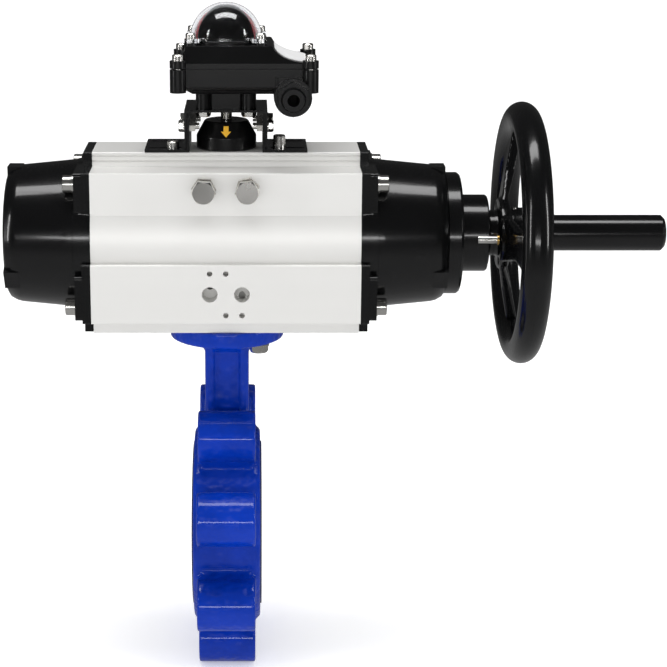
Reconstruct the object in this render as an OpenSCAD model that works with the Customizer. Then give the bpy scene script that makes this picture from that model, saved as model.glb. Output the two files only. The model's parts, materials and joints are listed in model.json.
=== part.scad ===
/* [Cylinder body] */
// Half length of the extruded body along the piston axis
body_half = 100.5; // [98:0.5:110]
// Height of the piston axis above the valve centre
axis_z = 237.5; // [237:0.5:239]
// Radius of the piston bore
bore_r = 52.5; // [52.3:0.1:52.6]
// Half width of the top rail of the body
rail_half = 23.5; // [22:0.5:25]
// Half width of the lower pad that carries the air ports
pad_half = 60.5; // [60:0.5:64]
// Half width of the upper flat sides
side_half = 51.7; // [51.5:0.1:54]

/* [Rack and pinion] */
// Gear module
gear_module = 2; // [2:2]
// Number of pinion teeth
gear_teeth = 20; // [20:20]
// Turning angle of the drive from shut to open
turn_deg = 90; // [90:90]
// Clearance on each tooth flank
flank_gap = 0.3; // [0.2:0.05:0.35]

/* [End caps] */
// Outer end of each end cap along the piston axis
cap_end = 166.5; // [165:0.5:168]
// Radius of the barrel of the end cap at its root
cap_root_r = 57.7; // [56:0.1:58]
// Radius of the barrel of the end cap near its outer end
cap_tip_r = 52.8; // [50:0.1:54]
// Offset of the end cap screws from the piston axis, sideways
screw_y = 45; // [44:0.5:46]
// Offset of the end cap screws from the piston axis, upwards
screw_z = 47; // [46:0.5:47.5]

/* [Hand override] */
// Distance of the handwheel plane from the valve centre plane
wheel_x = 226; // [224:0.5:228]
// Radius of the handwheel rim's centre line
wheel_r = 89.3; // [80:0.1:100]
// Radius of the handwheel rim's section
rim_r = 11.4; // [9:0.1:12]
// Outer radius of the adapter ring on the end cap
adapter_r = 46.8; // [45:0.1:48]
// Outer radius of the override neck
neck_r = 29.5; // [28:0.1:31]
// Outer radius of the spindle cover tube
tube_r = 13.8; // [13.5:0.1:15]
// Outer end of the spindle cover tube
tube_end = 336.5; // [334:0.5:345]
// Radius of the screw spindle
spindle_r = 8; // [7.5:0.1:8.2]

/* [Switch box] */
// Height of the bracket plate that carries the switch box
plate_z = 335; // [334:0.5:340]
// Left end of the switch box
box_left = -37; // [-40:0.5:-36]
// Right end of the switch box
box_right = 66; // [64:0.5:70]
// Half depth of the switch box
box_half = 38; // [37:0.5:42]
// Outer radius of the clear dome
dome_r = 27.6; // [27.4:0.1:28]

/* [Valve] */
// Radius of the clear pipe bore inside the rubber seat
pipe_r = 50; // [50:50]
// Half length of the metal valve body along the pipe
ring_half = 26; // [25:0.5:27]
// Outer radius of the valve body ring
ring_r = 76; // [74:0.5:78]
// Pitch circle diameter of the flange bolt lugs
lug_pcd = 180; // [180:180]
// Number of lugs
lug_count = 8; // [8:8]
// Radius of each lug
lug_r = 20.5; // [19:0.5:21]
// Radius of the tapped hole in each lug
lug_hole_r = 7; // [7:0.1:7.2]
// Radius of the valve stem
stem_r = 9; // [9:9]
// Width across the flats of the square on the stem
stem_square = 14; // [14:14]

/* [Hidden] */

$fn = 96;
eps = 0.01;
run_gap = 0.05;
free_gap = 0.3;

// Colours of the finishes
aluminium = [0.86, 0.87, 0.87];
black = [0.05, 0.05, 0.055];
steel = [0.72, 0.73, 0.74];
dark_steel = [0.5, 0.51, 0.52];
epoxy = [0.01, 0.18, 0.61];
rubber = [0.09, 0.09, 0.1];
brass = [0.75, 0.58, 0.25];
bronze = [0.62, 0.45, 0.24];

// Heights of the actuator
base_z = 168.5;
ledge_low_z = 180.8;
pad_top_z = 226;
flat_low_z = 261;
ledge_high_z = 293.5;
top_z = 304.5;
base_half = 41;
barrel_r = 57;
flange_z = 156.2;
neck_z = 104;

// Interface for a solenoid valve: two ports and four tapped holes
port_x = 12;
port_z = 203.5;
port_r = 5.9;
port_depth = 14;
pilot_z = 16;
pilot_r = 2.1;

// Rack and pinion
pitch_r = gear_module * gear_teeth / 2;
tooth_pitch = PI * gear_module;
pressure = 20;
gear_low = 218;
gear_high = 257;
rack_low = 222;
rack_high = 253;
tip_r = pitch_r + gear_module;
root_r = pitch_r - 1.25 * gear_module;
gear_base_r = pitch_r * cos(pressure);

// Pistons, at rest
piston_in = 42;
piston_thick = 20;
piston_out = piston_in + piston_thick;
rack_end = 39.4;
rack_back = 36;

// Travel stops
stop_x = 16;
stop_z = 282.5;
stop_face = 18;
cam_low = 277;
cam_high = 287;
cam_r = 26.9;

// Mounting grid for accessories on top of the body
grid_x = 40;
grid_y = 15;

// Override
spindle_end = 290;
neck_end = 199.5;
adapter_end = 178;
cavity_end = 160;

// Bracket and switch box
bracket_out = 31;
top_t = 1.6;
foot_t = 2;
bracket_half = 28;
bolt_y = 18;
bolt_z = 323.5;
box_split = 368;
box_floor = 349;
corner_x = [-35, 62.5];
corner_y = 36;
dome_z = 387;
gland_x = 49.7;
gland_z = 347.8;
boss_half = 42.1;

// Lays the children's own Z axis along +X
module along_x() { rotate([0, 90, 0]) children(); }

// Lays the children's own Z axis along -Y
module along_front() { rotate([90, 0, 0]) children(); }

// Places the children's XY outline in the YZ plane and pulls it along X
module pull_x(length) {
    rotate([90, 0, 90]) linear_extrude(height = length, center = true) children();
}

// Copies the children to the four corners of a rectangle
module four_corners(x, y) {
    for (sx = [-1, 1], sy = [-1, 1]) translate([sx * x, sy * y, 0]) children();
}

// Rectangle with round corners, centred
module round_rect(size, r) {
    square([size[0] - 2 * r, size[1]], center = true);
    square([size[0], size[1] - 2 * r], center = true);
    four_corners(size[0] / 2 - r, size[1] / 2 - r) circle(r);
}

// Hexagon given by its width across flats
module hexagon(across) { circle(r = across / sqrt(3), $fn = 6); }

// Hexagon head screw: head above z = 0, shank below
module hex_screw(across, head, r, length) {
    intersection() {
        linear_extrude(height = head) hexagon(across);
        cylinder(h = head, r1 = across * 0.72, r2 = across * 0.5);
    }
    translate([0, 0, -length]) cylinder(h = length + eps, r = r);
}

// Socket head screw: head above z = 0, shank below
module socket_screw(head_r, head, key, r, length) {
    difference() {
        union() {
            cylinder(h = head - 0.6, r = head_r);
            translate([0, 0, head - 0.6]) cylinder(h = 0.6, r1 = head_r, r2 = head_r - 0.6);
            translate([0, 0, -length]) cylinder(h = length + eps, r = r);
        }
        translate([0, 0, head / 2]) linear_extrude(height = head) hexagon(key);
    }
}

// Hexagon nut standing on z = 0
module hex_nut(across, thick, r) {
    difference() {
        linear_extrude(height = thick) hexagon(across);
        translate([0, 0, -1]) cylinder(h = thick + 2, r = r);
    }
}

// Flat ring standing on z = 0
module ring(r_out, r_in, thick) {
    difference() {
        cylinder(h = thick, r = r_out);
        translate([0, 0, -1]) cylinder(h = thick + 2, r = r_in);
    }
}

// Copies the children to the four end cap screw places, in the YZ plane
module cap_screw_places() {
    for (sy = [-1, 1], sz = [-1, 1])
        translate([0, sy * screw_y, axis_z + sz * screw_z]) children();
}

// ---------- Valve ----------

// Ring of the valve body, about the pipe axis
module valve_ring() {
    along_x() rotate_extrude() polygon([
        [pipe_r + 10, -ring_half], [ring_r - 2, -ring_half], [ring_r, -ring_half + 2],
        [ring_r, ring_half - 2], [ring_r - 2, ring_half], [pipe_r + 10, ring_half]]);
}

// Places the children at each lug, their Z axis along the pipe
module lug_places() {
    for (i = [0 : lug_count - 1])
        rotate([(i + 0.5) * 360 / lug_count, 0, 0]) translate([0, 0, lug_pcd / 2])
            along_x() children();
}

// One lug: a round boss with a web running in to the ring
module lug() {
    lug_half = 22.2;
    cylinder(h = 2 * lug_half, r = lug_r, center = true);
    translate([10, 0, 0]) cube([20, 2 * lug_r - 4, 2 * lug_half - 6], center = true);
}

// Whole valve casting, cored and drilled
module valve_casting() {
    difference() {
        union() {
            valve_ring();
            lug_places() lug();
            translate([0, 0, 64]) linear_extrude(height = flange_z - 63) neck_outline();
            translate([0, 0, flange_z]) cylinder(h = base_z - flange_z, r = 44.2);
            translate([0, 0, flange_z - 8]) cylinder(h = 8 + eps, r1 = 22, r2 = 30);
            translate([0, 0, -92]) cylinder(h = 20, r = 16);
        }
        along_x() cylinder(h = 60, r = pipe_r + 10, center = true);
        lug_places() cylinder(h = 60, r = lug_hole_r, center = true);
        translate([0, 0, 55]) cylinder(h = 120, r = 11.6);
        translate([0, 0, 156]) cylinder(h = 20, r = 14.1);
        translate([0, 0, -86]) cylinder(h = 30, r = 11.6);
        for (a = [45 : 90 : 315]) rotate(a) translate([35, 0, flange_z - 10]) {
            cylinder(h = 30, r = 4.5);
            cylinder(h = 10, r = 9.5);
        }
    }
}

// Ring and lugs of the casting, up to the foot of the neck
module valve_body() {
    color(epoxy) difference() {
        valve_casting();
        translate([0, 0, neck_z + 50]) cube([100, 100, 100], center = true);
    }
}

// Neck and top flange of the casting
module valve_neck() {
    color(epoxy) intersection() {
        valve_casting();
        translate([0, 0, neck_z + 50]) cube([100, 100, 100], center = true);
    }
}

// Section of the neck, with a channel down its front and back
module neck_outline() {
    difference() {
        round_rect([34, 40], 3);
        for (s = [-1, 1]) translate([0, s * 20]) round_rect([20, 7], 1.5);
    }
}

module valve_seat() {
    lip = 27;
    color(rubber) difference() {
        along_x() rotate_extrude() polygon([
            [pipe_r, -lip], [64.6, -lip], [64.6, -ring_half - run_gap],
            [pipe_r + 10 - run_gap, -ring_half - run_gap],
            [pipe_r + 10 - run_gap, ring_half + run_gap],
            [64.6, ring_half + run_gap], [64.6, lip], [pipe_r, lip]]);
        translate([0, 0, -80]) cylinder(h = 160, r = stem_r + run_gap);
    }
}

module stem_bushes() {
    color(bronze) for (z = [62, 138]) translate([0, 0, z]) ring(11.5, stem_r + run_gap, 17);
    color(bronze) translate([0, 0, -84]) ring(11.5, stem_r + run_gap, 22);
}

module shaft_seals() {
    color(rubber) {
        translate([0, 0, 156.2]) ring(14, stem_r + run_gap, base_z - 156.4);
        translate([0, 0, 170.8]) ring(18.9, 17.05, 2.4);
        translate([0, 0, 301.2]) ring(15.9, 14.05, 2.8);
        translate([168.5, 0, axis_z]) along_x() ring(11.4, spindle_r + run_gap, 3);
    }
}

module flange_bolts() {
    washer = 1.6;
    color(steel) for (a = [-45, 135]) rotate(a) translate([35, 0, flange_z]) {
        translate([0, 0, -washer]) ring(8, 4.2, washer - run_gap);
        translate([0, 0, -washer - run_gap]) mirror([0, 0, 1]) rotate(30) hex_screw(13, 5, 3.3, 0);
        translate([0, 0, -washer - 0.1]) cylinder(h = 22, r = 3.3);
    }
}

module valve_stem() {
    color(steel) {
        translate([0, 0, -83]) cylinder(h = 83 + base_z, r = stem_r);
        intersection() {
            translate([0, 0, base_z - 1]) cylinder(h = 20, r = stem_r);
            translate([0, 0, base_z + 9]) cube([stem_square, stem_square, 20], center = true);
        }
    }
}

module valve_disc() {
    rim = pipe_r - free_gap;
    color(steel) difference() {
        intersection() {
            sphere(r = rim, $fn = 160);
            union() {
                along_x() rotate_extrude() polygon([
                    [0, -7.5], [20, -7], [46, -4], [rim + 1, -2.5],
                    [rim + 1, 2.5], [46, 4], [20, 7], [0, 7.5]]);
                translate([0, 0, -rim]) cylinder(h = 2 * rim, r = 13.5);
            }
        }
        translate([0, 0, -60]) cylinder(h = 120, r = stem_r + run_gap);
    }
    color(dark_steel) for (z = [-27, 27]) translate([stem_r + 0.1, 0, z])
        along_x() cylinder(h = 5.5, r = 3);
}

// ---------- Cylinder body ----------

// Outer outline of the body, in the YZ plane
module body_outline() {
    translate([0, (ledge_high_z + top_z) / 2 - 5])
        round_rect([2 * rail_half, top_z - ledge_high_z + 10], 1);
    translate([0, (flat_low_z + ledge_high_z) / 2])
        round_rect([2 * side_half, ledge_high_z - flat_low_z], 0.8);
    translate([0, axis_z]) circle(r = barrel_r, $fn = 180);
    translate([0, (ledge_low_z + pad_top_z) / 2])
        round_rect([2 * pad_half, pad_top_z - ledge_low_z], 1);
    translate([0, (base_z + ledge_low_z) / 2 + 5])
        round_rect([2 * base_half, ledge_low_z - base_z + 10], 1);
}

// Long shallow grooves that the extrusion carries
module body_grooves() {
    for (s = [-1, 1]) {
        translate([s * rail_half, ledge_high_z + 4]) circle(r = 0.8, $fn = 24);
        translate([s * rail_half, ledge_high_z + 8]) circle(r = 0.8, $fn = 24);
        translate([s * (pad_half - 1.2), pad_top_z + 0.7]) square([8, 1.4], center = true);
    }
}

// Air way from the second port to both end chambers
module air_way() {
    translate([0, -36, 187]) along_x() cylinder(h = 250, r = 3, center = true);
    drop = 16.5;
    run = 14;
    translate([port_x, -50, port_z]) rotate([-(90 + atan(drop / run)), 0, 0])
        cylinder(h = sqrt(drop * drop + run * run), r = 2.5);
}

module cylinder_body() {
    color(aluminium) difference() {
        pull_x(2 * body_half) difference() {
            body_outline();
            body_grooves();
        }
        translate([0, 0, axis_z]) along_x() cylinder(h = 260, r = bore_r, center = true, $fn = 180);
        translate([0, 0, base_z - 1]) cylinder(h = 40, r = 19);
        translate([0, 0, 270]) cylinder(h = 40, r = 16);
        translate([0, 0, 268]) cylinder(h = 289.5 - 268, r = 27.5);
        for (s = [-1, 1]) {
            translate([s * stop_x, -20, stop_z]) along_front() cylinder(h = 60, r = 4.25);
            translate([s * port_x, -pad_half + port_depth, port_z]) along_front()
                cylinder(h = 30, r = port_r);
            translate([s * port_x, -pad_half + 10, port_z + pilot_z * (s < 0 ? 1 : -1)])
                along_front() cylinder(h = 30, r = pilot_r);
            translate([0, -pad_half + 10, port_z + s * pilot_z]) along_front()
                cylinder(h = 30, r = pilot_r);
        }
        translate([-port_x, -36, port_z + 3]) along_front() cylinder(h = 12, r = 2.5);
        air_way();
        for (s = [-1, 1]) translate([s * (body_half - 9), 0, 0]) cap_screw_places()
            along_x() cylinder(h = 22, r = 3.4, center = true);
        translate([0, 0, top_z - 9]) four_corners(grid_x, grid_y) cylinder(h = 20, r = 2.1);
        for (a = [45 : 90 : 315]) rotate(a) translate([35, 0, base_z - 1])
            cylinder(h = 14, r = 3.4);
    }
}

module pinion_bushes() {
    color(rubber) {
        translate([0, 0, 173.4]) ring(18.9, 17.05, 18);
        translate([0, 0, 289.6]) ring(15.9, 14.05, 11.4);
    }
}

module stop_bolts() {
    color(steel) for (s = [-1, 1]) translate([s * stop_x, -66, stop_z]) along_front()
        rotate(s * 4) hex_screw(16, 6.4, 4.2, 66 - stop_face - free_gap);
}

module stop_nuts() {
    color(steel) for (s = [-1, 1]) translate([s * stop_x, -side_half - run_gap, stop_z])
        along_front() rotate(s * 9 + 6) hex_nut(16, 6, 4.25);
}

// ---------- End caps ----------

// Outline of the thick corner bosses of a cap, in the YZ plane
module cap_outline() {
    translate([0, 278]) round_rect([2 * side_half, 31], 2.5);
    translate([0, 200]) round_rect([2 * pad_half - 1, 34], 2.5);
    translate([0, axis_z]) circle(r = cap_root_r, $fn = 180);
}

// Outline of the plate of a cap, which ends a little above the underside of the body
module plate_outline() {
    difference() {
        body_outline();
        translate([0, base_z]) square([200, 2.6], center = true);
    }
}

// Left end cap, or right end cap when mirrored
module end_cap() {
    plate_t = 6.5;
    difference() {
        union() {
            translate([-body_half - run_gap - plate_t / 2, 0, 0]) pull_x(plate_t) plate_outline();
            translate([-body_half - 8.5, 0, 0]) pull_x(7) cap_outline();
            translate([-body_half, 0, axis_z]) along_x() rotate_extrude($fn = 180) polygon([
                [0, -1], [cap_root_r, -1], [cap_root_r, -12.8], [cap_root_r - 1, -13.2],
                [cap_root_r - 1.2, -18], [cap_tip_r, -56],
                [cap_tip_r - 1, -60], [cap_tip_r - 3.5, -64.5],
                [cap_tip_r - 6, body_half - cap_end], [0, body_half - cap_end]]);
            for (a = [0, 120, 240]) translate([-161, 0, axis_z]) rotate([a, 0, 0])
                translate([0, 0, 47.5]) cube([11, 16, 11], center = true);
        }
        translate([-cavity_end, 0, axis_z]) along_x()
            cylinder(h = cavity_end - 99, r = 46.5, $fn = 180);
        translate([-body_half, 0, axis_z]) along_x()
            rotate_extrude() translate([53.3, -1.5]) square([2, 3]);
        translate([-103, 0, 0]) cap_screw_places() along_x()
            cylinder(h = 40, r = 4.5, center = true);
        translate([-104, -36, 187]) rotate([-18, 0, 0]) translate([0, 0, 6])
            cube([6, 5, 22], center = true);
    }
}

module left_end_cap() { color(black) end_cap(); }

module right_end_cap() {
    color(black) difference() {
        mirror([1, 0, 0]) end_cap();
        translate([150, 0, axis_z]) along_x() cylinder(h = 30, r = 12);
        translate([164, 0, axis_z]) along_x() rotate(45) adapter_hole_ring(2.55, 20);
    }
}

// Four small holes on the adapter's bolt circle
module adapter_hole_ring(r, h) {
    for (a = [0 : 90 : 270]) rotate(a) translate([38, 0, -5]) cylinder(h = h, r = r);
}

module end_cap_screws() {
    color(steel) for (s = [0, 1]) mirror([s, 0, 0]) translate([-body_half - 12.05, 0, 0])
        cap_screw_places() rotate([0, -90, 0]) rotate(12) {
            translate([0, 0, 1.4]) socket_screw(6.5, 6.8, 6, 3.3, 27);
            ring(7.2, 4.1, 1.35);
        }
}

module end_cap_seals() {
    color(rubber) for (s = [0, 1]) mirror([s, 0, 0]) translate([-101.9, 0, axis_z])
        along_x() ring(55.2, 53.4, 1.35);
}

// ---------- Springs ----------

// Points of one ring of a coil's wire
function coil_ring(turn_angle, coil_r, wire_r, sides, rise) =
    [for (k = [0 : sides - 1]) let (a = 360 * k / sides)
        [(coil_r + wire_r * cos(a)) * cos(turn_angle),
         (coil_r + wire_r * cos(a)) * sin(turn_angle), rise + wire_r * sin(a)]];

// Compression spring standing on z = 0
module coil_spring(length, turns, coil_r, wire_r) {
    sides = 4;
    steps = 8;
    last = turns * steps;
    rise = (length - 2 * wire_r) / last;
    points = [for (i = [0 : last])
        each coil_ring(360 * i / steps, coil_r, wire_r, sides, wire_r + i * rise)];
    walls = [for (i = [0 : last - 1], k = [0 : sides - 1])
        let (m = (k + 1) % sides, a = i * sides, b = a + sides)
        each [[a + k, b + m, b + k], [a + k, a + m, b + m]]];
    first_face = [for (k = [sides - 1 : -1 : 0]) k];
    last_face = [for (k = [0 : sides - 1]) last * sides + k];
    polyhedron(points, concat([first_face], walls, [last_face]));
}

// Four springs between a piston and its end cap
module spring_set() {
    start = piston_out + 0.5;
    for (a = [45 : 90 : 315]) translate([start, 0, axis_z]) along_x() rotate(a)
        translate([30, 0, 0]) coil_spring(cavity_end - 0.5 - start, 6, 9.5, 1.7);
}

module left_springs() { color(dark_steel) mirror([1, 0, 0]) spring_set(); }
module right_springs() { color(dark_steel) spring_set(); }

// ---------- Pinion and pistons ----------

// Angle of the involute at a radius, in degrees
function involute_angle(r) =
    let (t = sqrt(max(0, r * r / (gear_base_r * gear_base_r) - 1))) t * 180 / PI - atan(t);

// Half angle of a tooth at a radius
function half_tooth(r) =
    (tooth_pitch / 4 - flank_gap) / pitch_r * 180 / PI
    + involute_angle(pitch_r) - involute_angle(r);

// Outline of one tooth pointing along +X
module tooth() {
    steps = 4;
    radii = [for (i = [0 : steps]) gear_base_r + (tip_r - gear_base_r) * i / steps];
    lower = [for (r = radii) [r * cos(half_tooth(r)), -r * sin(half_tooth(r))]];
    upper = [for (i = [steps : -1 : 0]) let (r = radii[i])
        [r * cos(half_tooth(r)), r * sin(half_tooth(r))]];
    foot = root_r - 1;
    foot_half = half_tooth(gear_base_r);
    polygon(concat(
        [[foot * cos(foot_half), -foot * sin(foot_half)]], lower, upper,
        [[foot * cos(foot_half), foot * sin(foot_half)]]));
}

module pinion() {
    color(dark_steel) difference() {
        union() {
            translate([0, 0, 171]) cylinder(h = gear_low - 171, r = 17);
            translate([0, 0, gear_low]) linear_extrude(height = gear_high - gear_low) {
                circle(r = root_r);
                for (i = [0 : gear_teeth - 1]) rotate(i * 360 / gear_teeth) tooth();
            }
            translate([0, 0, gear_high - eps]) cylinder(h = 304.5 - gear_high, r = 14);
            translate([0, 0, 304]) cylinder(h = 16, r = 10);
            translate([0, 0, 319]) cylinder(h = 6.8, r = 6.8);
        }
        translate([0, 0, 170]) linear_extrude(height = 22)
            square(stem_square + 0.1, center = true);
        translate([0, 0, 170]) cylinder(h = 22, r = stem_r + run_gap);
        translate([0, 0, 324]) cube([4, 20, 8], center = true);
        translate([0, 0, 316]) cylinder(h = 12, r = 4.5);
    }
}

module stop_cam() {
    color(dark_steel) translate([0, 0, cam_low]) linear_extrude(height = cam_high - cam_low)
        difference() {
            union() {
                circle(r = stop_face - 0.1);
                intersection() {
                    circle(r = cam_r);
                    polygon([[4, -stop_face], [30, -stop_face], [30, 30],
                        [-stop_face, 30], [-stop_face, 4], [0, 0]]);
                }
            }
            circle(r = 14 + run_gap);
        }
}

// Rack of the right piston, on the front side, with its pitch line at y = -pitch_r
module rack() {
    addendum = gear_module;
    dedendum = 1.25 * gear_module;
    half_pitch_line = tooth_pitch / 4 - flank_gap;
    slope = tan(pressure);
    first = -6;
    last = 6;
    translate([0, 0, rack_low]) linear_extrude(height = rack_high - rack_low) {
        translate([-rack_end, -rack_back]) square([rack_end + piston_in + 1,
            rack_back - pitch_r - dedendum]);
        for (i = [first : last]) translate([(i + 0.5) * tooth_pitch, -pitch_r]) polygon([
            [-half_pitch_line - dedendum * slope, -dedendum - 0.5],
            [half_pitch_line + dedendum * slope, -dedendum - 0.5],
            [half_pitch_line + dedendum * slope, -dedendum],
            [half_pitch_line - addendum * slope, addendum],
            [-half_pitch_line + addendum * slope, addendum],
            [-half_pitch_line - dedendum * slope, -dedendum]]);
    }
}

// Head of the right piston
module piston_head() {
    translate([piston_in, 0, axis_z]) along_x() rotate_extrude($fn = 180) polygon([
        [0, 0], [51.2, 0], [52.2, 1], [52.2, 4], [50, 4], [50, 7.5], [52.2, 7.5],
        [52.2, 11], [50.6, 11], [50.6, 17], [52.2, 17], [52.2, 19], [51.2, piston_thick],
        [0, piston_thick]]);
}

module left_piston() {
    color(aluminium) rotate(180) {
        piston_head();
        rack();
    }
}

module right_piston() {
    color(aluminium) difference() {
        union() {
            piston_head();
            rack();
        }
        translate([48, 0, axis_z]) along_x() cylinder(h = 20, r = 12.4);
        translate([57.9, 0, axis_z]) along_x() cylinder(h = 20, r = 20.1);
    }
}

// Seal, guide band and rack pad of the right piston
module piston_rings() {
    color(rubber) translate([piston_in + 4.2, 0, axis_z]) along_x() ring(52.4, 50.1, 3.1);
    color(bronze) translate([piston_in + 11.2, 0, axis_z]) along_x() ring(52.4, 50.7, 5.6);
    color(bronze) intersection() {
        translate([-25, -60, rack_low + 6]) cube([30, 60 - rack_back - run_gap, 19]);
        translate([0, 0, axis_z]) along_x() cylinder(h = 200, r = 52.2, center = true);
    }
}

module left_piston_rings() { rotate(180) piston_rings(); }
module right_piston_rings() { piston_rings(); }

module spindle_retainer() {
    color(steel) translate([58, 0, axis_z]) along_x() ring(20, spindle_r + free_gap, 4);
}

// ---------- Hand override ----------

module override_adapter() {
    color(black) difference() {
        union() {
            translate([cap_end + run_gap, 0, axis_z]) along_x() rotate_extrude() polygon([
                [0, 0], [adapter_r - 0.5, 0], [adapter_r, 0.5], [adapter_r, 9.5],
                [adapter_r - 1.5, adapter_end - cap_end - run_gap], [0, adapter_end - cap_end - run_gap]]);
            translate([161.5, 0, axis_z]) along_x() cylinder(h = 6, r = 11.9);
        }
        translate([160, 0, axis_z]) along_x() cylinder(h = 30, r = spindle_r + run_gap);
        translate([168.4, 0, axis_z]) along_x() cylinder(h = 3.2, r = 11.5);
        translate([164, 0, axis_z]) along_x() rotate(45) {
            adapter_hole_ring(3.3, 30);
            translate([0, 0, 12.8]) adapter_hole_ring(5.2, 10);
        }
        for (a = [45 : 90 : 315]) translate([adapter_end - 8, 0, axis_z]) along_x() rotate(a)
            translate([25, 0, 0]) cylinder(h = 10, r = 2.1);
    }
}

module adapter_screws() {
    color(steel) {
        translate([171.9, 0, axis_z]) along_x() rotate(45) for (a = [0 : 90 : 270])
            rotate(a) translate([38, 0, 0]) socket_screw(4.9, 5.4, 5, 2.5, 10);
        translate([190.2, 0, axis_z]) along_x() for (a = [45 : 90 : 315])
            rotate(a) translate([25, 0, 0]) socket_screw(3.6, 4, 3, 2, 18);
    }
}

module override_neck() {
    color(black) difference() {
        translate([adapter_end + run_gap, 0, axis_z]) along_x() rotate_extrude() polygon([
            [14.05, 0], [neck_r, 0], [neck_r, neck_end - adapter_end - 1.2],
            [neck_r - 1, neck_end - adapter_end - run_gap], [14.05, neck_end - adapter_end - run_gap]]);
        translate([adapter_end - 1, 0, axis_z]) along_x() cylinder(h = 15.3, r = 21);
        for (a = [45 : 90 : 315]) translate([adapter_end - 1, 0, axis_z]) along_x() rotate(a)
            translate([25, 0, 0]) {
                cylinder(h = 30, r = 2.3);
                translate([0, 0, 13.1]) cylinder(h = 30, r = 3.8);
            }
        translate([190, -29, axis_z + 1]) along_x() cylinder(h = 20, r = 3.05);
    }
}

module thrust_bearing() {
    color(steel) for (x = [178.3, 189.3]) translate([x, 0, axis_z]) along_x()
        ring(20.7, x < 180 ? 9 : 14.2, 2.9);
}

module lock_pin() {
    color(steel) translate([190.2, -29, axis_z + 1]) along_x() cylinder(h = 14.2, r = 3);
}

module lock_pin_collar() {
    color(brass) translate([204.45, -29, axis_z + 1]) along_x() rotate_extrude() polygon([
        [0, 0], [4, 0], [4, 1.4], [3.2, 2.1], [0, 2.1]]);
}

module spindle() {
    color(steel) translate([0, 0, axis_z]) along_x() difference() {
        union() {
            translate([0, 0, 48.5]) cylinder(h = 9, r = 12);
            translate([0, 0, 57]) cylinder(h = spindle_end - 58, r = spindle_r);
            translate([0, 0, spindle_end - 1 - eps]) cylinder(h = 1, r1 = spindle_r, r2 = spindle_r - 1);
        }
        translate([0, 0, spindle_end - 4]) cylinder(h = 10, r = 2);
    }
}

module spindle_nut() {
    color(brass) translate([0, 0, axis_z]) along_x() difference() {
        union() {
            translate([0, 0, 181.6]) cylinder(h = 7.4, r = 20.5);
            translate([0, 0, 188]) cylinder(h = 47, r = 14);
        }
        translate([0, 0, 170]) cylinder(h = 80, r = spindle_r + run_gap);
    }
}

module handwheel_rim() {
    color(black) translate([wheel_x, 0, axis_z]) along_x() rotate_extrude($fn = 120)
        translate([wheel_r, 0]) circle(r = rim_r, $fn = 48);
}

// One pressed spoke running along +X from the hub to the rim, with a groove down its face
module spoke() {
    hub_edge = 20;
    waist = 48;
    rim_edge = wheel_r - 7;
    hub_drop = -13.5;
    waist_drop = -7;
    rim_drop = 0.5;
    difference() {
        hull() {
            translate([hub_edge, 0, hub_drop]) cube([2, 36, 4], center = true);
            translate([waist, 0, waist_drop]) cube([2, 22, 7], center = true);
        }
        translate([(hub_edge + waist) / 2 + 10, 0, waist_drop + 2]) cube([44, 9, 6], center = true);
    }
    difference() {
        hull() {
            translate([waist, 0, waist_drop]) cube([2, 22, 7], center = true);
            translate([rim_edge, 0, rim_drop]) cube([4, 38, 8], center = true);
        }
        translate([60, 0, waist_drop + 5]) cube([40, 9, 6], center = true);
    }
}

module handwheel_spider() {
    disc_low = 208.5 - wheel_x;
    hub_low = neck_end + 0.8 - wheel_x;
    color(black) difference() {
        union() {
            translate([wheel_x, 0, axis_z]) along_x() {
                translate([0, 0, disc_low]) cylinder(h = 7.5, r = 27);
                translate([0, 0, hub_low]) cylinder(h = 231 - wheel_x - hub_low, r = 17.5);
                translate([0, 0, disc_low]) cylinder(h = 231 - wheel_x - disc_low, r = 19.5);
            }
            for (a = [-90, 30, 150]) translate([wheel_x, 0, axis_z]) along_x() rotate(a)
                spoke();
        }
        translate([wheel_x, 0, axis_z]) along_x() rotate_extrude($fn = 120)
            translate([wheel_r, 0]) circle(r = rim_r + run_gap, $fn = 48);
        translate([190, 0, axis_z]) along_x() cylinder(h = 60, r = 14.05);
        translate([221, 0, axis_z]) cylinder(h = 30, r = 2.05);
        for (a = [30 : 60 : 330]) translate([207, 0, axis_z]) along_x() rotate(a)
            translate([22.5, 0, 0]) cylinder(h = 11, r = 2.6);
    }
}

module hub_screws() {
    color(steel) {
        translate([221, 0, axis_z + 14.3]) cylinder(h = 5.8, r = 2);
        for (a = [30 : 60 : 330]) translate([209.1, 0, axis_z]) along_x() rotate(a)
            translate([22.5, 0, 0]) ring(2.5, 1.1, 4.3);
    }
}

module cover_tube() {
    inner = 10.4;
    start = 235.2;
    color(black) translate([0, 0, axis_z]) difference() {
        along_x() rotate_extrude() polygon([
            [inner, start], [tube_r, start], [tube_r, tube_end - 2.5],
            [tube_r - 2.5, tube_end], [0, tube_end], [0, tube_end - 3.5],
            [inner, tube_end - 3.5]]);
        for (x = [[267, 285.5], [318, 323]]) translate([x[0], -2.5, 5]) cube([x[1] - x[0], 5, 20]);
    }
    color(brass) translate([231 + run_gap, 0, axis_z]) along_x() ring(tube_r + 1.4, 14.05, 4);
}

// ---------- Indicator and bracket ----------

module indicator_hat() {
    color(black) translate([0, 0, top_z + free_gap]) rotate_extrude() polygon([
        [14.5, 0], [22.7, 0], [22.7, 9.5], [21.5, 11.5], [17, 19.8], [16, 20.9],
        [7, 20.9], [7, 15.8], [10.1, 15.8], [10.1, 4], [14.5, 4]]);
}

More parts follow.
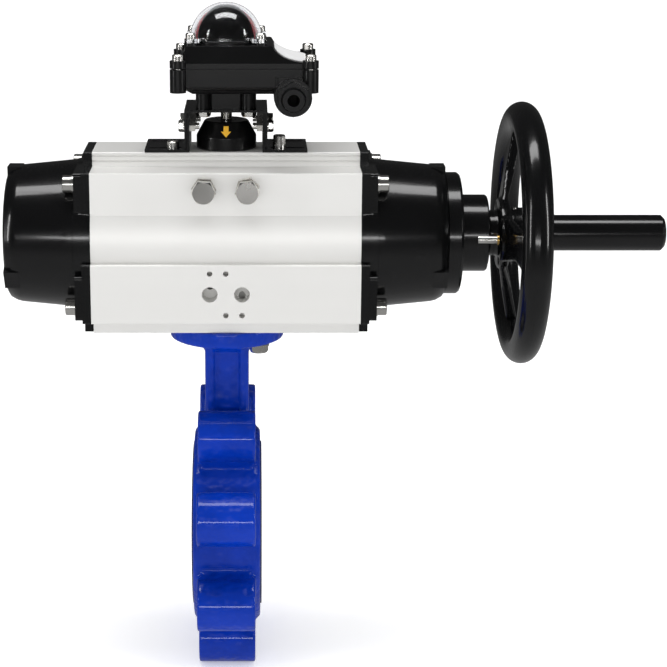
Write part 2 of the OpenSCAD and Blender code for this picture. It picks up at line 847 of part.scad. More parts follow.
module hat_arrow() {
    arrow_t = 0.35;
    color([0.94, 0.69, 0.19]) intersection() {
        translate([0, 0, top_z + free_gap]) rotate_extrude() polygon([
            [22.8, 9.5], [22.8 + arrow_t, 9.5], [21.6 + arrow_t, 11.5],
            [17.1 + arrow_t, 19.8], [17.1, 19.8], [21.6, 11.5]]);
        translate([0, 0, 320]) along_front() linear_extrude(height = 40) polygon([
            [-1.9, 3.2], [1.9, 3.2], [1.9, -0.6], [3.8, -0.6], [0, -4.6], [-3.8, -0.6],
            [-1.9, -0.6]]);
    }
}

// Shaft of the switch box, with a tongue in the pinion's slot and a slotted black sleeve
module switch_shaft() {
    sleeve_low = 326.2;
    color(steel) difference() {
        union() {
            translate([0, 0, 317]) cylinder(h = 70.4, r = 2.6);
            translate([0, 0, 322.5]) cube([3.8, 12.6, 4], center = true);
        }
        translate([-0.5, -4, sleeve_low - 1]) cube([1, 3, 11]);
    }
    color(black) translate([0, 0, sleeve_low]) difference() {
        cylinder(h = 8.4, r = 4.3);
        translate([0, 0, -1]) cylinder(h = 20, r = 2.65);
        translate([-2.2, -6, -1]) cube([4.4, 6, 20]);
    }
}

module bracket_top() {
    leg_low = 310;
    color(black) difference() {
        union() {
            translate([0, 0, plate_z + top_t / 2])
                cube([2 * bracket_out, 2 * bracket_half, top_t], center = true);
            for (s = [-1, 1]) translate([s * (bracket_out - top_t / 2), 0, (plate_z + leg_low) / 2])
                cube([top_t, 2 * bracket_half, plate_z - leg_low + 1], center = true);
        }
        translate([0, 0, plate_z - 1]) {
            cylinder(h = 10, r = 9);
            four_corners(17, 17) cylinder(h = 10, r = 3.2);
        }
        for (y = [-bolt_y, bolt_y]) translate([0, y, bolt_z]) along_x()
            cylinder(h = 100, r = 2.8, center = true);
    }
}

// Right foot of the bracket; the left one is its mirror image
module bracket_foot() {
    leg_x = bracket_out - top_t - run_gap - foot_t;
    slot_low = bolt_z - 5;
    slot_high = bolt_z + 4;
    slot_in = 36;
    slot_out = 56;
    difference() {
        union() {
            translate([leg_x, -25, top_z + run_gap]) cube([foot_t, 50, 26]);
            translate([leg_x, -25, top_z + run_gap]) cube([61 - leg_x, 50, foot_t]);
        }
        for (y = [-bolt_y, bolt_y]) translate([20, y, 0]) {
            for (z = [slot_low, slot_high]) translate([0, 0, z]) along_x() cylinder(h = 20, r = 2.8);
            translate([0, -2.8, slot_low]) cube([20, 5.6, slot_high - slot_low]);
        }
        for (y = [-grid_y, grid_y]) translate([0, y, top_z - 1]) {
            for (x = [slot_in, slot_out]) translate([x, 0, 0]) cylinder(h = 8, r = 2.8);
            translate([slot_in, -2.8, 0]) cube([slot_out - slot_in, 5.6, 8]);
        }
    }
}

module bracket_left_foot() { color(black) mirror([1, 0, 0]) bracket_foot(); }
module bracket_right_foot() { color(black) bracket_foot(); }

module bracket_bolts() {
    inner_face = bracket_out - top_t - foot_t - run_gap;
    color(steel) for (s = [0, 1], y = [-bolt_y, bolt_y]) mirror([s, 0, 0])
        translate([0, y, bolt_z]) {
            translate([bracket_out + run_gap, 0, 0]) along_x() ring(4.6, 2.55, 0.9);
            translate([bracket_out + 1, 0, 0]) along_x() rotate(10 + y)
                hex_screw(8, 3.6, 2.5, 12);
            translate([inner_face - run_gap, 0, 0]) rotate([0, -90, 0]) rotate(y)
                hex_nut(8, 4.2, 2.55);
        }
}

module foot_screws() {
    seat = top_z + foot_t + 2 * run_gap;
    color(steel) {
        translate([-grid_x, -grid_y, seat]) socket_screw(4.6, 5, 4, 2.05, 8);
        translate([grid_x, -grid_y, seat + 4.6]) socket_screw(4.6, 5, 4, 2.05, 11);
        translate([grid_x, -grid_y, seat]) ring(5, 2.3, 4.5);
    }
}

// ---------- Switch box ----------

// Outline of the switch box
module box_outline(inset) {
    translate([(box_left + box_right) / 2, 0])
        round_rect([box_right - box_left - 2 * inset, 2 * box_half - 2 * inset], 6 - inset / 2);
}

// Outline of the hollow inside the switch box, between its corner columns
module box_hollow() {
    intersection() {
        box_outline(5);
        translate([(box_left + box_right) / 2, 0])
            square([box_right - box_left - 26, 90], center = true);
    }
}

// Copies the children to the four corner screws of the switch box
module box_corners() {
    for (x = corner_x, y = [-corner_y, corner_y]) translate([x, y, 0]) children();
}

module switch_base() {
    color(black) difference() {
        union() {
            translate([0, 0, box_floor + 6]) linear_extrude(height = box_split - box_floor - 6)
                box_outline(2);
            hull() {
                translate([0, 0, box_floor + 6]) linear_extrude(height = 1) box_outline(2);
                translate([3, 0, box_floor]) linear_extrude(height = 1) box_outline(9);
            }
            translate([0, 0, plate_z + top_t + run_gap]) linear_extrude(height = 13) {
                round_rect([38, 32], 3);
                round_rect([24, 38], 2);
                four_corners(17, 17) circle(r = 5.6);
            }
            translate([0, 0, 351]) box_corners() cylinder(h = box_split - 351, r = 6);
            translate([0, 0, 344.5]) linear_extrude(height = 18)
                translate([gland_x, 0]) round_rect([28, 2 * box_half - 1], 4);
            translate([0, 0, gland_z]) rotate([90, 0, 0]) translate([gland_x, 0, 0])
                cylinder(h = 2 * boss_half, r = 14, center = true);
        }
        translate([0, 0, box_floor + 3]) linear_extrude(height = 30) box_hollow();
        translate([gland_x, 0, gland_z]) rotate([90, 0, 0]) cylinder(h = 100, r = 8.1, center = true);
        translate([0, 0, plate_z]) cylinder(h = 30, r = 2.65);
        translate([0, 0, plate_z]) four_corners(17, 17) cylinder(h = 12, r = 2.5);
        translate([0, 0, 354]) box_corners() cylinder(h = 30, r = 2.1);
    }
}

module switch_gasket() {
    color(rubber) translate([0, 0, box_split + run_gap]) linear_extrude(height = 0.9)
        difference() {
            box_outline(2.4);
            box_hollow();
            for (x = corner_x, y = [-corner_y, corner_y]) translate([x, y]) circle(r = 4.5);
        }
}

// Hollow slope at the right end of the cover, in height above the split
slope = [[34.5, 16.2], [36, 13.6], [38, 11.6], [40, 10.1], [43, 8.4], [46.5, 7], [50, 6],
    [55, 4.9], [60.5, 4.2]];

// Solid bounded by a front profile, a side profile and the box outline, both profiles in
// height above the split; inset moves every face inwards
module cover_body(inset, low) {
    left = box_left + 2.5;
    right = box_right - 2.5;
    top = 16.8 - inset;
    translate([0, 0, box_split]) intersection() {
        rotate([90, 0, 0]) linear_extrude(height = 100, center = true) polygon([
            [left + inset, low], [left + inset, 5], [left + inset + 1.5, 7],
            [-29 + inset, top - 0.8], [-28 + inset, top], [33.5 - inset, top],
            for (p = slope) [p[0] - inset, p[1] - inset],
            [right - inset, 3.6 - inset / 3], [right - inset, low]]);
        pull_x(300) polygon([
            [-35.5 + inset, low], [-35.5 + inset, 4], [-31 + inset, top - 0.5], [-30 + inset, top],
            [30 - inset, top], [31 - inset, top - 0.5], [35.5 - inset, 4], [35.5 - inset, low]]);
        translate([0, 0, -5]) linear_extrude(height = 40) box_outline(2.5 + inset);
    }
}

module switch_cover() {
    low = box_split + 1;
    color(black) difference() {
        union() {
            translate([0, 0, low]) linear_extrude(height = 3.2) box_outline(1.5);
            cover_body(0, 2);
            translate([0, 0, 384]) cylinder(h = 2.4, r = 29);
            for (a = [45 : 90 : 315]) rotate(a) translate([36.5, 0, 378]) cylinder(h = 8.4, r = 4.6);
            translate([0, 0, low]) box_corners() cylinder(h = 5.5, r = 6);
        }
        intersection() {
            cover_body(2.5, -2);
            translate([(box_left + box_right) / 2, 0, low])
                cube([box_right - box_left - 26, 90, 60], center = true);
        }
        translate([0, 0, low - 1]) box_corners() cylinder(h = 30, r = 2.4);
        translate([0, 0, 375]) cylinder(h = 30, r = 3);
        translate([0, 0, 376]) for (a = [45 : 90 : 315]) rotate(a) translate([36.5, 0, 0])
            cylinder(h = 20, r = 1.7);
        translate([0, 0, low + 5.5]) box_corners() cylinder(h = 14, r = 6);
    }
}

module cover_screws() {
    color(steel) translate([0, 0, box_split + 6.6]) box_corners()
        socket_screw(4.2, 4.4, 4, 2.05, 20);
}

// Upright quarter of a round shell, as a section to turn about Z
module shell_section(r_out, r_in, low) {
    intersection() {
        difference() {
            circle(r = r_out, $fn = 120);
            circle(r = r_in, $fn = 120);
        }
        translate([0, low]) square([40, 40]);
    }
}

module beacon_dome() {
    inner = dome_r - 2.1;
    color([0.9, 0.95, 1, 0.35]) translate([0, 0, dome_z]) difference() {
        union() {
            rotate_extrude($fn = 120) {
                shell_section(dome_r - 0.6, inner, 0.5);
                translate([inner, -0.5]) square([29 - inner, 2.5]);
            }
            for (a = [45 : 90 : 315]) rotate(a) {
                translate([36.5, 0, -0.5]) cylinder(h = 3, r = 4.6);
                translate([27, -4.6, -0.5]) cube([9.5, 9.2, 3]);
            }
        }
        for (a = [45 : 90 : 315]) rotate(a) translate([36.5, 0, -2]) cylinder(h = 10, r = 1.8);
    }
}

// Two opposite wedges, front and back, that open to a half angle
module wedges(half_angle, h) {
    reach = 60;
    for (s = [-1, 1]) linear_extrude(height = h) polygon([[0, 0],
        [reach * tan(half_angle), s * reach], [-reach * tan(half_angle), s * reach]]);
}

module beacon_shield() {
    color(black) translate([0, 0, dome_z]) difference() {
        rotate_extrude($fn = 120) shell_section(dome_r - 2.3, dome_r - 3, 0);
        difference() {
            translate([0, 0, 1.5]) cylinder(h = 60, r = 60);
            wedges(54, 60);
            cylinder(h = 60, r = 7.2);
        }
    }
}

// Two opposite quarters of the turning indicator's shell, about the given direction
module rotor_quarters(direction, half_angle, low) {
    for (a = [direction, direction + 180]) rotate(a - half_angle)
        rotate_extrude(angle = 2 * half_angle, $fn = 120)
            shell_section(dome_r - 3.6, dome_r - 4.8, low);
}

module beacon_red() {
    color([0.75, 0.05, 0.08]) translate([0, 0, dome_z]) difference() {
        union() {
            intersection() {
                rotor_quarters(0, 44.8, 0.7);
                difference() {
                    cylinder(h = 30, r = 30);
                    cylinder(h = 30, r = 1);
                }
            }
            translate([0, 0, -0.3]) cylinder(h = 1.4, r = 5);
            translate([0, 0, 0.6]) cylinder(h = 1.2, r = dome_r - 4);
        }
        translate([0, 0, -8]) cylinder(h = 8.5, r = 2.65);
    }
}

module beacon_yellow() {
    color([0.92, 0.75, 0.1]) translate([0, 0, dome_z]) intersection() {
        rotor_quarters(90, 44.8, 1.85);
        difference() {
            cylinder(h = 30, r = 30);
            cylinder(h = 30, r = 1);
        }
    }
}

module dome_screws() {
    color(steel) translate([0, 0, dome_z + 2.6]) for (a = [45 : 90 : 315]) rotate(a)
        translate([36.5, 0, 0]) socket_screw(3.7, 4, 3, 1.6, 9);
}

module switch_mount_screws() {
    color(steel) translate([0, 0, plate_z - run_gap]) mirror([0, 0, 1]) four_corners(17, 17)
        hex_screw(10, 4.4, 2.45, 11.5);
}

module cable_gland() {
    color(black) translate([gland_x, -boss_half - run_gap, gland_z]) along_front() difference() {
        union() {
            linear_extrude(height = 10) rotate(30) hexagon(22);
            translate([0, 0, 10]) cylinder(h = 4, r1 = 9.2, r2 = 8);
            translate([0, 0, -14]) cylinder(h = 15, r = 8);
        }
        translate([0, 0, -20]) cylinder(h = 50, r = 4.5);
    }
}

module conduit_plug() {
    color(black) translate([gland_x, boss_half + run_gap, gland_z]) rotate([-90, 0, 0]) difference() {
        union() {
            cylinder(h = 5, r = 11);
            translate([0, 0, -12]) cylinder(h = 13, r = 8);
        }
        translate([0, 0, 2]) linear_extrude(height = 10) hexagon(8);
    }
}

module micro_switches() {
    color([0.2, 0.2, 0.22]) for (y = [-16, 9]) translate([10, y, box_floor + 4])
        difference() {
            cube([20, 7, 11]);
            for (x = [4, 16]) translate([x, -1, 3]) rotate([-90, 0, 0]) cylinder(h = 10, r = 1.4);
        }
    color([0.15, 0.35, 0.2]) translate([36, -18, box_floor + 3.1]) cube([14, 36, 8]);
}

module switch_cams() {
    color([0.7, 0.1, 0.1]) translate([0, 0, box_floor + 5]) difference() {
        union() {
            cylinder(h = 4, r = 7);
            translate([0, -2.5, 0]) cube([8.5, 5, 4]);
        }
        translate([0, 0, -1]) cylinder(h = 10, r = 2.65);
    }
    color([0.85, 0.7, 0.1]) translate([0, 0, box_floor + 9.2]) difference() {
        union() {
            cylinder(h = 4, r = 7);
            translate([-2.5, 0, 0]) cube([5, 8.5, 4]);
        }
        translate([0, 0, -1]) cylinder(h = 10, r = 2.65);
    }
}

// Blank label that follows the hollow slope of the cover
module label_plate() {
    lift = 0.1;
    thick = 0.4;
    color([0.93, 0.93, 0.93]) translate([0, 0, box_split]) intersection() {
        rotate([90, 0, 0]) linear_extrude(height = 100, center = true) polygon(concat(
            [for (p = slope) [p[0], p[1] + lift]],
            [for (i = [len(slope) - 1 : -1 : 0]) [slope[i][0] + thick, slope[i][1] + lift + thick]]));
        translate([48.2, 0, 0]) linear_extrude(height = 40) round_rect([24, 59], 9);
    }
}

valve_body();
valve_neck();
valve_seat();
stem_bushes();
shaft_seals();
flange_bolts();
cylinder_body();
left_end_cap();
right_end_cap();
end_cap_screws();
end_cap_seals();
stop_bolts();
stop_nuts();
pinion_bushes();
left_springs();
right_springs();
override_adapter();
adapter_screws();
override_neck();
thrust_bearing();
lock_pin();
lock_pin_collar();
bracket_top();
bracket_left_foot();
bracket_right_foot();
bracket_bolts();
foot_screws();
switch_base();
switch_cover();
switch_gasket();
cover_screws();
beacon_dome();
beacon_shield();
dome_screws();
switch_mount_screws();
cable_gland();
conduit_plug();
micro_switches();
label_plate();
pinion();
stop_cam();
valve_stem();
valve_disc();
indicator_hat();
hat_arrow();
switch_shaft();
switch_cams();
beacon_red();
beacon_yellow();
left_piston();
left_piston_rings();
right_piston();
right_piston_rings();
spindle_retainer();
spindle();
handwheel_rim();
handwheel_spider();
spindle_nut();
cover_tube();
hub_screws();
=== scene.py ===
"""Looks of the rotary pneumatic actuator, its handwheel, switch box and valve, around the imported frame."""

import json
import math

import bmesh
import bpy
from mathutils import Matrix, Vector

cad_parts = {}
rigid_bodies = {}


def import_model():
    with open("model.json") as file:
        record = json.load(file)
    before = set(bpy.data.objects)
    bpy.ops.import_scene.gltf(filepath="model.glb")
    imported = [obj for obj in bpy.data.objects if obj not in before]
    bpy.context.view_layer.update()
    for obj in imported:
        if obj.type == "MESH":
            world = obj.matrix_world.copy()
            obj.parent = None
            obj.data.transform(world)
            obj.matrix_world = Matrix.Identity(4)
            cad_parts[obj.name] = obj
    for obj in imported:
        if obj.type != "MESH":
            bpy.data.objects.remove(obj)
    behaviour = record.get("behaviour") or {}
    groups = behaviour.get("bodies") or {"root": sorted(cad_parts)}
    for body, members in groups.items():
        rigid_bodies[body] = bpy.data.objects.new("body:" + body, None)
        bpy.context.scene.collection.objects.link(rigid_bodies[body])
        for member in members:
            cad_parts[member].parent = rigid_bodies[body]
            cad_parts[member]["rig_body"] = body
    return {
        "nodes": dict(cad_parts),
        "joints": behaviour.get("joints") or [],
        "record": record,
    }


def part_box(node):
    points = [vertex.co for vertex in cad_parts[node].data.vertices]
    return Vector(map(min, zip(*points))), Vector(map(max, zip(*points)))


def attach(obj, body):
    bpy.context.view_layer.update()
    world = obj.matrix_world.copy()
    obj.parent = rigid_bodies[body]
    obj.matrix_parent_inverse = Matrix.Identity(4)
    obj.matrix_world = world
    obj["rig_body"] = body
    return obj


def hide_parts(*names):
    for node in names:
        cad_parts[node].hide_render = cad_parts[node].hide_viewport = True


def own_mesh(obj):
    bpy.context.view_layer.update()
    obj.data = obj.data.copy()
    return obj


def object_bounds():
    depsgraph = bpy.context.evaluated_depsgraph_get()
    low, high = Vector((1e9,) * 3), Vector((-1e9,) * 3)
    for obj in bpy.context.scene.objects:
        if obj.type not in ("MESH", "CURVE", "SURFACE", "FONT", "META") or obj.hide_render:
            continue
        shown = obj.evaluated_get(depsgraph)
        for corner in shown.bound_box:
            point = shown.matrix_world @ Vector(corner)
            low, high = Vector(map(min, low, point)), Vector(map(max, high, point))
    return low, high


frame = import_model()
CAD_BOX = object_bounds()
MM = 0.001

# Springs of the pistons
WIRE_R = 1.7 * MM
SPRING_CIRCLE_R = 30 * MM
SPRING_TURNS = 6
STEPS_PER_TURN = 20
WIRE_SIDES = 8

# Roundness of edges
EDGE_WIDTH = 0.6 * MM
CAST_VOXEL = 1.2 * MM

# Brightness of the studio as diffuse surfaces see it, and as shiny ones see it below and above
STUDIO_LIGHT = 0.62
GLEAM_BELOW = 0.3
GLEAM_ABOVE = 0.035


# ---------- Places taken from the frame ----------

def joint(name):
    """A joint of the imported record."""
    return next(j for j in frame["joints"] if j["name"] == name)


AXIS_Z = joint("handwheel_turn")["pos_m"][2]


# ---------- Materials ----------

def shader(name):
    """A new material and its node tree, with only the output and the main shader."""
    mat = bpy.data.materials.new(name)
    mat.use_nodes = True
    tree = mat.node_tree
    return mat, tree, tree.nodes["Principled BSDF"]


def scaled_coords(tree, stretch):
    """Object coordinates stretched along the three axes."""
    coords = tree.nodes.new("ShaderNodeTexCoord")
    mapping = tree.nodes.new("ShaderNodeMapping")
    mapping.inputs["Scale"].default_value = stretch
    tree.links.new(coords.outputs["Object"], mapping.inputs["Vector"])
    return mapping.outputs["Vector"]


def noise(tree, coords, scale, detail=3.0):
    """A noise texture's factor."""
    tex = tree.nodes.new("ShaderNodeTexNoise")
    tex.inputs["Scale"].default_value = scale
    tex.inputs["Detail"].default_value = detail
    tex.inputs["Roughness"].default_value = 0.55
    tree.links.new(coords, tex.inputs["Vector"])
    return tex.outputs["Fac"]


def ramp(tree, factor, low, high):
    """Maps a factor to a colour between two ends."""
    node = tree.nodes.new("ShaderNodeValToRGB")
    node.color_ramp.elements[0].position = 0.3
    node.color_ramp.elements[1].position = 0.7
    node.color_ramp.elements[0].color = (*low, 1)
    node.color_ramp.elements[1].color = (*high, 1)
    tree.links.new(factor, node.inputs["Fac"])
    return node.outputs["Color"]


def spread(tree, factor, low, high):
    """Maps a factor from 0..1 to low..high."""
    node = tree.nodes.new("ShaderNodeMapRange")
    node.inputs["To Min"].default_value = low
    node.inputs["To Max"].default_value = high
    tree.links.new(factor, node.inputs["Value"])
    return node.outputs["Result"]


def bump(tree, factor, distance, under=None):
    """A bump from a height factor, over another bump if given."""
    node = tree.nodes.new("ShaderNodeBump")
    node.inputs["Strength"].default_value = 1.0
    node.inputs["Distance"].default_value = distance
    tree.links.new(factor, node.inputs["Height"])
    if under is not None:
        tree.links.new(under, node.inputs["Normal"])
    return node.outputs["Normal"]


def tint(colour, gain):
    """A colour made lighter or darker."""
    return tuple(min(1.0, c * gain) for c in colour)


def finish_material(name, colour, rough, metal=0.0, coat=0.0, coat_rough=0.06, grain=900.0,
                    grain_depth=0.00002, stretch=(1, 1, 1), wave=0.0, wave_scale=220.0,
                    shade=0.06, rough_spread=0.05, specular=0.5):
    """The shared finish: a fine grain, a slow wave, and slow changes of colour and roughness."""
    mat, tree, main = shader(name)
    coords = scaled_coords(tree, stretch)
    slow = noise(tree, coords, 24.0, 4.0)
    fine = noise(tree, coords, grain, 2.0)
    colours = ramp(tree, slow, tint(colour, 1 - shade), tint(colour, 1 + shade))
    tree.links.new(colours, main.inputs["Base Color"])
    tree.links.new(spread(tree, slow, rough - rough_spread, rough + rough_spread),
                   main.inputs["Roughness"])
    normal = bump(tree, fine, grain_depth)
    if wave:
        normal = bump(tree, noise(tree, coords, wave_scale, 1.0), wave, under=normal)
    tree.links.new(normal, main.inputs["Normal"])
    main.inputs["Metallic"].default_value = metal
    main.inputs["Coat Weight"].default_value = coat
    main.inputs["Coat Roughness"].default_value = coat_rough
    main.inputs["Specular IOR Level"].default_value = specular
    return mat


def turned_metal(name, colour, rough):
    """Machined or rolled metal with fine even scratches."""
    return finish_material(name, colour, rough, metal=1.0, grain=1600.0, grain_depth=0.000008,
                           shade=0.1, rough_spread=0.08)


def clear_material(name):
    """Clear moulded polycarbonate."""
    mat, tree, main = shader(name)
    coords = scaled_coords(tree, (1, 1, 1))
    tree.links.new(spread(tree, noise(tree, coords, 60.0), 0.01, 0.06), main.inputs["Roughness"])
    main.inputs["Base Color"].default_value = (0.97, 0.98, 1.0, 1)
    main.inputs["Transmission Weight"].default_value = 1.0
    main.inputs["IOR"].default_value = 1.49
    return mat


MATERIALS = {
    "blue_epoxy": finish_material("blue_epoxy", (0.0002, 0.027, 0.33), 0.3, coat=0.55,
                                  coat_rough=0.04, grain=420.0, grain_depth=0.0001,
                                  wave=0.0026, wave_scale=110.0, shade=0.2, specular=0.12),
    "black_rubber": finish_material("black_rubber", (0.012, 0.012, 0.013), 0.5, grain=2200.0,
                                    grain_depth=0.00003, specular=0.3),
    "bronze": turned_metal("bronze", (0.45, 0.27, 0.12), 0.32),
    "polymer_bush": finish_material("polymer_bush", (0.62, 0.58, 0.47), 0.5),
    "anodised_body": finish_material("anodised_body", (0.79, 0.785, 0.765), 0.42, metal=0.3,
                                     grain=2400.0, grain_depth=0.00001, stretch=(0.03, 1, 1),
                                     shade=0.02, rough_spread=0.05),
    "piston_alloy": turned_metal("piston_alloy", (0.62, 0.62, 0.63), 0.35),
    "black_casting": finish_material("black_casting", (0.0032, 0.0033, 0.0036), 0.2, coat=0.5,
                                     coat_rough=0.1, grain=1500.0, grain_depth=0.000008,
                                     wave=0.00003, wave_scale=300.0, shade=0.15, specular=0.3),
    "black_steel": finish_material("black_steel", (0.0034, 0.0034, 0.0037), 0.24, coat=0.4,
                                   coat_rough=0.12, wave=0.00003, wave_scale=350.0, shade=0.15,
                                   specular=0.3),
    "stainless": turned_metal("stainless", (0.84, 0.825, 0.79), 0.24),
    "dark_steel": turned_metal("dark_steel", (0.3, 0.3, 0.31), 0.35),
    "brass": turned_metal("brass", (0.85, 0.56, 0.18), 0.24),
    "black_plastic": finish_material("black_plastic", (0.0036, 0.0036, 0.0039), 0.3, coat=0.2,
                                     grain=1800.0, grain_depth=0.000012, shade=0.15,
                                     specular=0.3),
    "clear_plastic": clear_material("clear_plastic"),
    "red_plastic": finish_material("red_plastic", (0.5, 0.008, 0.022), 0.25, grain=1500.0),
    "yellow_plastic": finish_material("yellow_plastic", (0.86, 0.47, 0.03), 0.42, grain=1500.0),
    "grey_plastic": finish_material("grey_plastic", (0.03, 0.032, 0.034), 0.5),
    "label_white": finish_material("label_white", (0.8, 0.8, 0.8), 0.42, grain=1200.0),
}
SLOTS = {part["node"]: part["material_slot"] for part in frame["record"]["subparts"]}


def dress(obj, slot):
    """Gives an object the finish of a material slot."""
    obj.data.materials.clear()
    obj.data.materials.append(MATERIALS[slot])


for node_name, node_object in frame["nodes"].items():
    node_object.data.materials.clear()
    node_object.data.materials.append(MATERIALS[SLOTS[node_name]])


# ---------- Mesh helpers ----------

def new_piece(name, mesh):
    """Links a mesh as an object."""
    obj = bpy.data.objects.new(name, mesh)
    bpy.context.scene.collection.objects.link(obj)
    return obj


def settle(obj):
    """Applies every modifier of an object to its mesh."""
    bpy.context.view_layer.update()
    graph = bpy.context.evaluated_depsgraph_get()
    mesh = bpy.data.meshes.new_from_object(obj.evaluated_get(graph))
    obj.modifiers.clear()
    obj.data = mesh
    return obj


def smooth(obj):
    """Smooth shading, with the edges over 35 degrees kept sharp."""
    for face in obj.data.polygons:
        face.use_smooth = True
    obj.data.set_sharp_from_angle(angle=math.radians(35))
    return obj


def welded(nodes, name):
    """A copy of CAD nodes with their vertices joined and their flat faces merged."""
    mesh = bpy.data.meshes.new(name)
    work = bmesh.new()
    for node in nodes:
        work.from_mesh(frame["nodes"][node].data)
    bmesh.ops.remove_doubles(work, verts=work.verts, dist=2e-6)
    bmesh.ops.dissolve_limit(work, angle_limit=math.radians(0.6), verts=work.verts,
                             edges=work.edges)
    work.to_mesh(mesh)
    work.free()
    return new_piece(name, mesh)


def stand_in(obj, nodes):
    """The object takes the place, body and finish of some CAD nodes."""
    dress(obj, SLOTS[nodes[0]])
    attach(obj, frame["nodes"][nodes[0]]["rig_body"])
    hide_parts(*nodes)
    return obj


def edged(node, width):
    """A CAD node with its sharp edges rounded."""
    obj = welded([node], node + "_edged")
    bevel = obj.modifiers.new("edges", "BEVEL")
    bevel.width = width
    bevel.segments = 2
    bevel.limit_method = "ANGLE"
    bevel.angle_limit = math.radians(28)
    bevel.use_clamp_overlap = True
    bevel.miter_outer = "MITER_ARC"
    settle(obj)
    smooth(obj)
    flats = obj.modifiers.new("flats", "WEIGHTED_NORMAL")
    flats.keep_sharp = True
    flats.weight = 100
    settle(obj)
    return stand_in(obj, [node])


def cast(nodes, voxel, rounds):
    """CAD nodes remeshed and relaxed as one, so that edges and corners run soft as in a casting."""
    obj = welded(nodes, nodes[0] + "_cast")
    remesh = obj.modifiers.new("even", "REMESH")
    remesh.mode = "VOXEL"
    remesh.voxel_size = voxel
    relax = obj.modifiers.new("relax", "SMOOTH")
    relax.factor = 0.5
    relax.iterations = rounds
    settle(obj)
    for face in obj.data.polygons:
        face.use_smooth = True
    return stand_in(obj, nodes)


def wire_ring(work, place, out):
    """One ring of the wire's section, around a point of its coil."""
    ring = []
    for k in range(WIRE_SIDES):
        turn = 2 * math.pi * k / WIRE_SIDES
        section = out * math.cos(turn) + Vector((math.sin(turn), 0, 0))
        ring.append(work.verts.new(place + WIRE_R * section))
    return ring


def coil(work, centre, start, end, radius):
    """One coil along x, closed at both ends."""
    last = SPRING_TURNS * STEPS_PER_TURN
    loops = []
    for i in range(last + 1):
        angle = 2 * math.pi * i / STEPS_PER_TURN
        out = Vector((0, math.cos(angle), math.sin(angle)))
        place = Vector((start + (end - start) * i / last, *centre)) + out * radius
        loops.append(wire_ring(work, place, out))
    for one, two in zip(loops, loops[1:]):
        for k in range(WIRE_SIDES):
            n = (k + 1) % WIRE_SIDES
            work.faces.new((one[k], one[n], two[n], two[k]))
    work.faces.new(loops[0][::-1])
    work.faces.new(loops[-1])


def spring_set(node):
    """The four coils of a chamber, in round wire."""
    low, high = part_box(node)
    offset = SPRING_CIRCLE_R * math.sqrt(0.5)
    radius = (high.y - low.y) / 2 - offset - WIRE_R
    work = bmesh.new()
    for y in (-offset, offset):
        for z in (AXIS_Z - offset, AXIS_Z + offset):
            coil(work, (y, z), low.x + WIRE_R, high.x - WIRE_R, radius)
    bmesh.ops.recalc_face_normals(work, faces=work.faces)
    mesh = bpy.data.meshes.new(node + "_coils")
    work.to_mesh(mesh)
    work.free()
    obj = smooth(stand_in(new_piece(node + "_coils", mesh), [node]))
    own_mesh(obj)


# ---------- Pieces ----------

for node_name in ("cylinder_body", "left_end_cap", "right_end_cap", "override_adapter",
                  "override_neck", "bracket_top", "bracket_left_foot", "bracket_right_foot",
                  "switch_base", "switch_cover", "cover_tube", "indicator_hat"):
    edged(node_name, EDGE_WIDTH)

spring_set("left_springs")
spring_set("right_springs")
cast(["valve_body", "valve_neck"], CAST_VOXEL, 6)
cast(["handwheel_spider"], CAST_VOXEL, 4)


# ---------- Camera, light and floor ----------

def area_light(name, place, target, size, power):
    """A rectangular soft light that faces a point."""
    data = bpy.data.lights.new(name, "AREA")
    data.shape = "RECTANGLE"
    data.size = size[0]
    data.size_y = size[1]
    data.energy = power
    obj = bpy.data.objects.new(name, data)
    bpy.context.scene.collection.objects.link(obj)
    obj.location = place
    obj.rotation_euler = (Vector(target) - Vector(place)).to_track_quat("-Z", "Y").to_euler()
    return obj


def make_camera():
    """The camera in front of the actuator, a little above it."""
    data = bpy.data.cameras.new("camera")
    data.sensor_width = 36
    data.lens = 97.13
    data.shift_x = 0.1229
    data.shift_y = -0.0656
    data.clip_end = 50
    obj = bpy.data.objects.new("camera", data)
    bpy.context.scene.collection.objects.link(obj)
    obj.location = (0.0191, -1.3555, 0.5382)
    obj.rotation_euler = (math.pi / 2 - 0.25, 0, 0)
    bpy.context.scene.camera = obj


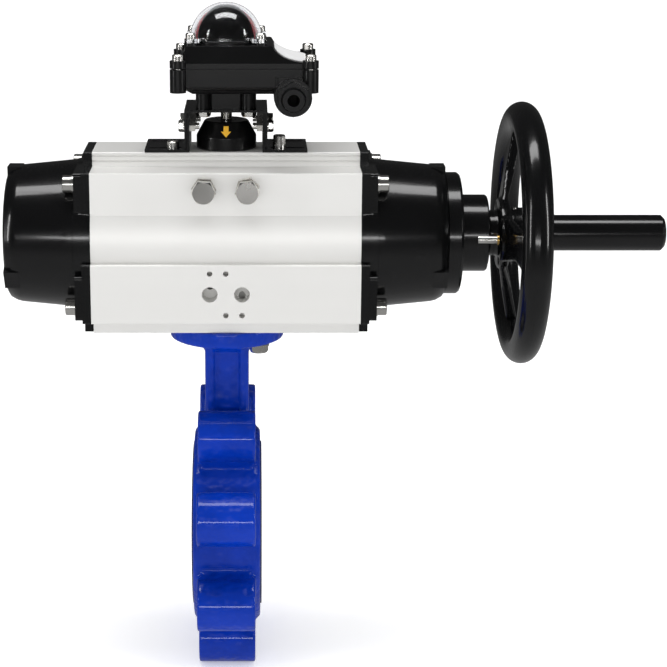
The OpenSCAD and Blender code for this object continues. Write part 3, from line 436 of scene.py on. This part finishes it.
def make_floor():
    """A pale floor just under the lowest lug, that bends up far behind."""
    low = CAD_BOX[0].z - 0.0005
    mesh = bpy.data.meshes.new("floor")
    work = bmesh.new()
    rows = []
    path = [(-4.0, 0.0), (2.2, 0.0)]
    for i in range(1, 13):
        turn = math.radians(90 * i / 12)
        path.append((2.2 + 1.2 * math.sin(turn), 1.2 * (1 - math.cos(turn))))
    path.append((3.4, 5.0))
    for y, z in path:
        rows.append([work.verts.new((x, y, low + z)) for x in (-6.0, 6.0)])
    for a, b in zip(rows, rows[1:]):
        work.faces.new((a[0], a[1], b[1], b[0]))
    work.to_mesh(mesh)
    work.free()
    floor = new_piece("floor", mesh)
    for face in mesh.polygons:
        face.use_smooth = True
    mat, tree, main = shader("floor")
    coords = scaled_coords(tree, (1, 1, 1))
    tree.links.new(ramp(tree, noise(tree, coords, 3.0), (0.92, 0.92, 0.92), (0.95, 0.95, 0.95)),
                   main.inputs["Base Color"])
    main.inputs["Roughness"].default_value = 0.9
    main.inputs["Emission Color"].default_value = (1, 1, 1, 1)
    main.inputs["Emission Strength"].default_value = 0.35
    mesh.materials.append(mat)
    floor.visible_glossy = False


def make_world():
    """A white studio that shiny surfaces see as dark above and pale below."""
    world = bpy.data.worlds.new("studio")
    bpy.context.scene.world = world
    world.use_nodes = True
    tree = world.node_tree
    background = tree.nodes["Background"]
    rays = tree.nodes.new("ShaderNodeLightPath")
    sky = tree.nodes.new("ShaderNodeTexCoord")
    axes = tree.nodes.new("ShaderNodeSeparateXYZ")
    tree.links.new(sky.outputs["Generated"], axes.inputs["Vector"])
    gleam = tree.nodes.new("ShaderNodeMapRange")
    gleam.inputs["From Min"].default_value = -0.45
    gleam.inputs["From Max"].default_value = -0.05
    gleam.inputs["To Min"].default_value = GLEAM_BELOW
    gleam.inputs["To Max"].default_value = GLEAM_ABOVE
    tree.links.new(axes.outputs["Z"], gleam.inputs["Value"])
    shiny = tree.nodes.new("ShaderNodeMapRange")
    shiny.inputs["To Min"].default_value = STUDIO_LIGHT
    tree.links.new(rays.outputs["Is Glossy Ray"], shiny.inputs["Value"])
    tree.links.new(gleam.outputs["Result"], shiny.inputs["To Max"])
    seen = tree.nodes.new("ShaderNodeMath")
    seen.operation = "MAXIMUM"
    tree.links.new(rays.outputs["Is Camera Ray"], seen.inputs[0])
    tree.links.new(shiny.outputs["Result"], seen.inputs[1])
    tree.links.new(seen.outputs["Value"], background.inputs["Strength"])
    background.inputs["Color"].default_value = (1, 1, 1, 1)


make_camera()
make_floor()
make_world()
area_light("front", (-0.1, -2.3, 0.42), (0.05, 0, 0.24), (1.5, 0.14), 7)
area_light("left", (-1.9, -1.0, 0.7), (0, 0, 0.2), (0.16, 1.3), 9)
area_light("right", (1.9, -0.8, 0.7), (0.1, 0, 0.2), (0.16, 1.2), 9)
area_light("top", (0, -0.1, 1.9), (0, 0, 0.2), (1.5, 0.5), 16)

bpy.context.scene.view_settings.view_transform = "Standard"
bpy.context.scene.view_settings.look = "None"
